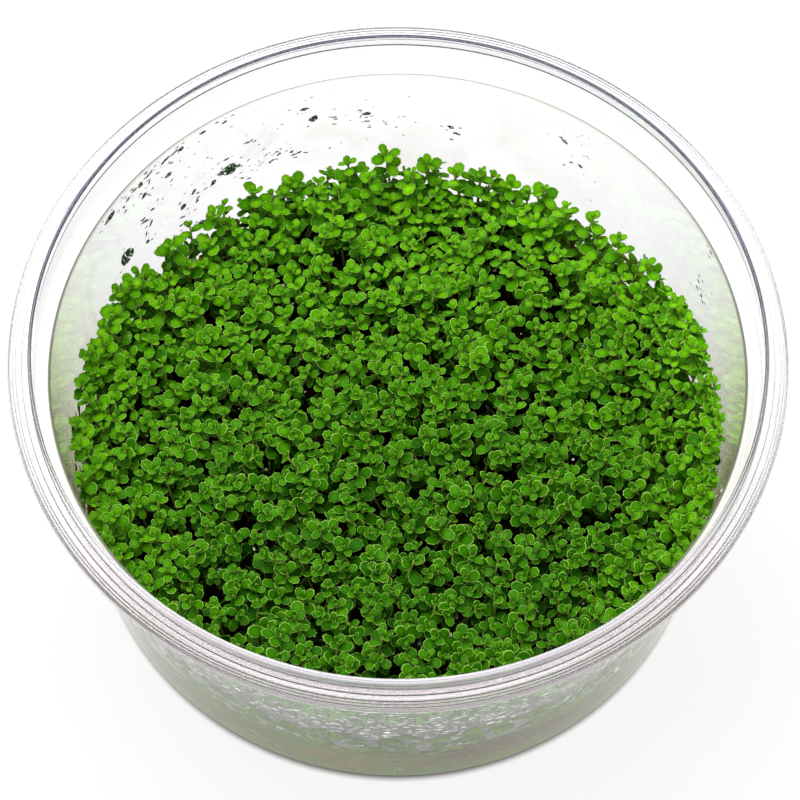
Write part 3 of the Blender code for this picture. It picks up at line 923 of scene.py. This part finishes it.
def seen_on_wall(x, y):
    """The angle round the cup and the height where lines of sight through photo places meet its back wall.

    A line's point is eye + t line and the wall's radius is that at the eye's height + t slope line z, so t
    is the larger root of a t ^ 2 + 2 b t + c = 0.
    """
    sideways = (x - 0.5 * frame_pixels)[:, None] * np.array(right)
    upwards = (0.5 * frame_pixels - y)[:, None] * np.array(up)
    line = sideways + upwards + focal_pixels * np.array(towards)
    wall_at_eye = inner_radius(eye.z)
    a = line[:, 0] ** 2 + line[:, 1] ** 2 - (wall_slope * line[:, 2]) ** 2
    b = eye.x * line[:, 0] + eye.y * line[:, 1] - wall_slope * line[:, 2] * wall_at_eye
    c = eye.x ** 2 + eye.y ** 2 - wall_at_eye ** 2
    place = np.array(eye) + ((np.sqrt(b * b - a * c) - b) / a)[:, None] * line
    return np.arctan2(place[:, 1], place[:, 0]), place[:, 2]


def seen_stretch(x, y, half_x, half_y):
    """How far round the wall and up it short lines in the photo run, from end to end about their middles."""
    first_angle, first_height = seen_on_wall(x - half_x, y - half_y)
    last_angle, last_height = seen_on_wall(x + half_x, y + half_y)
    return (first_angle - last_angle) * inner_radius(seen_on_wall(x, y)[1]), last_height - first_height


x, y, half_x, half_y, width, row = np.array(seen_bits).T
angle, height = seen_on_wall(x, y)
height = np.minimum(height, highest_speck)
run, rise = seen_stretch(x, y, half_x, half_y)
length = np.hypot(run, rise)
tilt = np.arctan(rise / run)
run_across, rise_across = seen_stretch(x, y, 0.5, 0.0)
run_down, rise_down = seen_stretch(x, y, 0.0, 0.5)
pixel_area = np.abs(run_across * rise_down - run_down * rise_across)
width = bit_plumpness * width * 2.0 * np.hypot(half_x, half_y) * pixel_area / length
larger = bits_plan(angle, height, length, width, tilt, row)
near_angle = np.repeat(angle, specks_each) + draw.normal(0.0, speck_drift, specks_each * len(angle))
near_height = np.repeat(height, specks_each) + draw.normal(0.0, speck_fall, len(near_angle))
near_height = np.clip(near_height, lowest_speck, highest_speck)
near_length = draw.uniform(0.2, 0.9, len(near_angle)) * mm
near_width = near_length * draw.uniform(0.3, 0.6, len(near_angle))
near_row = draw.choice(dark_kinds, len(near_angle))
near_tilt = draw.normal(0.0, speck_tilt, len(near_angle))
strewn = [bits_plan(near_angle, near_height, near_length, near_width, near_tilt, near_row)]
for middle_angle, angle_spread, middle_height, height_spread, count in speck_groups:
    angle = np.radians(draw.normal(middle_angle, angle_spread, count))
    height = draw.normal(middle_height, height_spread, count) * mm
    height = np.clip(height, lowest_speck, highest_speck)
    length = draw.uniform(0.2, 0.6, count) * mm
    width = length * draw.uniform(0.25, 0.6, count)
    tilt = draw.normal(0.0, speck_tilt, count)
    strewn.append(bits_plan(angle, height, length, width, tilt, draw.choice(dark_kinds, count)))
smaller = {name: np.concatenate([plan[name] for plan in strewn]) for name in strewn[0]}
mesh = joined("wall_bits", leaves(larger), leaves(smaller, sides=6))
piece_of("wall_bits", mesh, old_finish, "leaves")

# In the gel: old leaves and roots that show through the wall, pressed against it, and pale crumbs of gel
# that show in the gaps between the shoots.
flake_count = 520
flake_low = 2.9
flake_rise = 9.7
flake_rows = [4, 4, 5, 6, 6, 3]
angle = draw.uniform(0.0, 2.0 * np.pi, flake_count)
height = (flake_low + flake_rise * draw.uniform(0.0, 1.0, flake_count) ** 1.2) * mm
length = draw.uniform(0.5, 2.2, flake_count) * mm
width = length * draw.uniform(0.2, 0.6, flake_count)
row = draw.choice(flake_rows, flake_count)
flakes = bits_plan(angle, height, length, width, draw.normal(0.0, 0.35, flake_count), row, -gel_bite)
flake_mesh = joined("gel_flakes", leaves(flakes, sides=6))
piece_of("gel_flakes", flake_mesh, old_finish, "growing_gel")

root_count = 150
root_steps = 14
root_run = 0.14
root_sway = 0.012
root_dip = 0.4
lowest_root = 2.6
root_color = (0.75, 0.70, 0.36, 1.0)
along_root = np.linspace(0.0, 1.0, root_steps)
start_angle = draw.uniform(0.0, 2.0 * np.pi, root_count)[:, None]
turn = draw.normal(0.0, root_run, root_count)[:, None]
wave = draw.uniform(0.0, 2.0 * np.pi, root_count)[:, None]
angle = start_angle + turn * along_root + root_sway * np.sin(9.0 * along_root + wave)
root_top = draw.uniform(6.0, 12.5, root_count)[:, None]
root_drop = draw.uniform(2.0, 9.0, root_count)[:, None]
height = root_top - root_drop * along_root + root_dip * np.sin(7.0 * along_root - wave)
height = np.maximum(height, lowest_root) * mm
radius = inner_radius(height) + gel_bite
paths = np.stack([radius * np.cos(angle), radius * np.sin(angle), height], axis=2)
root_radii = draw.uniform(0.04, 0.08, root_count)[:, None] * mm * (1.0 - 0.5 * along_root)
root_finish, wire, shader = finish("root")
settle(shader, {"Base Color": root_color, "Roughness": 0.5})
piece_of("roots", joined("roots", stems(paths, root_radii, sides=4)), root_finish, "growing_gel")

crumb_count = 700
crumb_row = 7
crumb_x, crumb_y = spread(crumb_count, mat_reach - 1.0 * mm, 1.2 * mm)
crumb_z = canopy(crumb_x, crumb_y) - draw.uniform(1.0, 5.5, crumb_count) * mm
crumb_face = unit(draw.normal(0.0, 1.0, (crumb_count, 3)))
crumb_along = unit(np.cross(crumb_face, draw.normal(0.0, 1.0, (crumb_count, 3))))
crumbs = {
    "foot": np.stack([crumb_x, crumb_y, crumb_z], axis=1),
    "along": crumb_along,
    "face": crumb_face,
    "length": draw.uniform(0.25, 0.7, crumb_count) * mm,
    "width": draw.uniform(0.5, 1.0, crumb_count),
    "bend": np.zeros(crumb_count),
    "fold": np.full(crumb_count, 0.5),
    "tile": np.stack([draw.integers(0, tiles, crumb_count), np.full(crumb_count, crumb_row)], axis=1),
}
piece_of("crumbs", joined("crumbs", leaves(crumbs, sides=6)), old_finish, "growing_gel")

# The carpet's edge: shoots that grow against the wall along both sides and the front, lean on it, and
# hide where the mat ends.
edge_count = 84
edge_lean = 0.25
edge_angle = np.radians(np.linspace(148.0, 392.0, edge_count)) + draw.normal(0.0, 0.008, edge_count)
edge_radius = inner_radius(24.0 * mm) - draw.uniform(0.7, 2.2, edge_count) * mm
edge_x = edge_radius * np.cos(edge_angle)
edge_y = edge_radius * np.sin(edge_angle)
edge_z = canopy(edge_x, edge_y) + mat_rise + draw.normal(0.0, 1.0 * mm, edge_count)
edge_tips = np.stack([edge_x, edge_y, edge_z], axis=1)
edge_axes = unit(np.stack([
    draw.normal(0.0, 0.15, edge_count) + edge_lean * np.cos(edge_angle),
    draw.normal(0.0, 0.15, edge_count) + edge_lean * np.sin(edge_angle),
    np.ones(edge_count),
], axis=1))
edge_curls = level_curls(edge_count, curl_spread)
edge_plan = shoot_plan(edge_tips, edge_axes, edge_curls, draw.uniform(0.85, 1.3, edge_count), mat_pairs)
edge_stems = stems(*stem_paths(edge_tips, edge_axes, 0.4 * edge_curls, depths_to_gel(edge_z)))
group = kept_inside(leaves(edge_plan, sides=8), leaf_clearance)
stalk = kept_inside(edge_stems, stem_clearance)
piece_of("edge_shoots", joined("edge_shoots", group, stalk), leaf_finish, "leaves", "carpet")

# Condensation: beads of water that hang on the inside of the wall above the gel, thickest in front and at
# the right. Each has a painted highlight along its upper edge, which glows, and is tinted dark below as
# painted shade.
bead_sides = 6
bead_depth = 0.35
bead_bite = 0.02 * mm
lowest_bead = 13.6
highest_bead = 39.0
glint_color = (0.8, 0.8, 0.84, 1.0)
glint_strength = 0.65
water_color = (1.0, 1.0, 1.0, 1.0)
dim_color = (0.10, 0.08, 0.06, 1.0)


def beads(angle, height, width, tall, deep, sides):
    """Points and faces of flat-backed beads on the wall: width across, tall up, and deep off the wall.

    A ring at share s stands deep (1 - s ^ 2) ^ 0.5 off the wall, from the crown to the rim, and the back is
    closed by a fan.
    """
    place, round_it, up_it, inwards = on_wall(angle, height, -bead_bite)
    turns = 2.0 * np.pi * np.arange(sides) / sides
    shares = np.array([0.5, 0.87, 1.0])
    x = (shares[:, None] * np.cos(turns)).ravel()
    y = (shares[:, None] * np.sin(turns)).ravel()
    z = np.repeat(np.sqrt(1.0 - shares ** 2), sides)
    x, y, z = (np.append(values, ends) for values, ends in ((x, [0, 0]), (y, [0, 0]), (z, [1, 0])))
    points = place[:, None] + (
        (0.5 * width[:, None] * x)[..., None] * round_it[:, None]
        + (0.5 * tall[:, None] * y)[..., None] * up_it[:, None]
        + (deep[:, None] * z)[..., None] * inwards[:, None]
    )
    quads, fans = ring_faces(len(shares), sides)
    faces = [repeated(part, len(x), len(angle)) for part in (quads, fans)]
    spots = np.tile(0.5 + 0.5 * np.stack([x, y], axis=1), (len(angle), 1))
    return points.reshape(-1, 3), *faces, spots


# Groups of beads: middle angle and its spread, middle height and its spread, count, and largest width.
bead_groups = (
    (270.0, 24.0, 22.0, 3.9, 720, 1.25),
    (318.0, 13.0, 23.0, 4.0, 260, 1.3),
)
groups = []
for middle_angle, angle_spread, middle_height, height_spread, count, largest in bead_groups:
    angle = np.radians(draw.normal(middle_angle, angle_spread, count))
    height = draw.normal(middle_height, height_spread, count)
    height = np.clip(height, lowest_bead, highest_bead) * mm
    width = largest * draw.uniform(0.35, 1.0, count) ** 1.3 * mm
    groups.append((angle, height, width))
angle, height, width = (np.concatenate(values) for values in zip(*groups))
tall = width * draw.uniform(0.28, 0.5, len(width))
deep = bead_depth * tall
water_finish, wire, shader = finish("water")
spot = wire.node("ShaderNodeUVMap", {"uv_map": "OFBake"})
upwards = wire.node("ShaderNodeSeparateXYZ", {}, {"Vector": spot}, output=1)
# Painted highlight: a glowing band along each bead's upper edge; painted shade: a dark tint on its lower
# half.
glint = upwards.step(0.64, 0.72) * upwards.step(0.96, 0.88)
dim = upwards.step(0.52, 0.42)
connect(dim.blend(water_color, dim_color), shader, "Base Color")
connect(glint.blend(black, glint_color), shader, "Emission Color")
settle(shader, {
    "Emission Strength": glint_strength,
    "Roughness": 0.0,
    "IOR": 1.33,
    "Transmission Weight": 1.0,
})
mesh = filled_mesh("condensation", *beads(angle, height, width, tall, deep, bead_sides))
piece_of("condensation", mesh, water_finish, "clear_plastic")
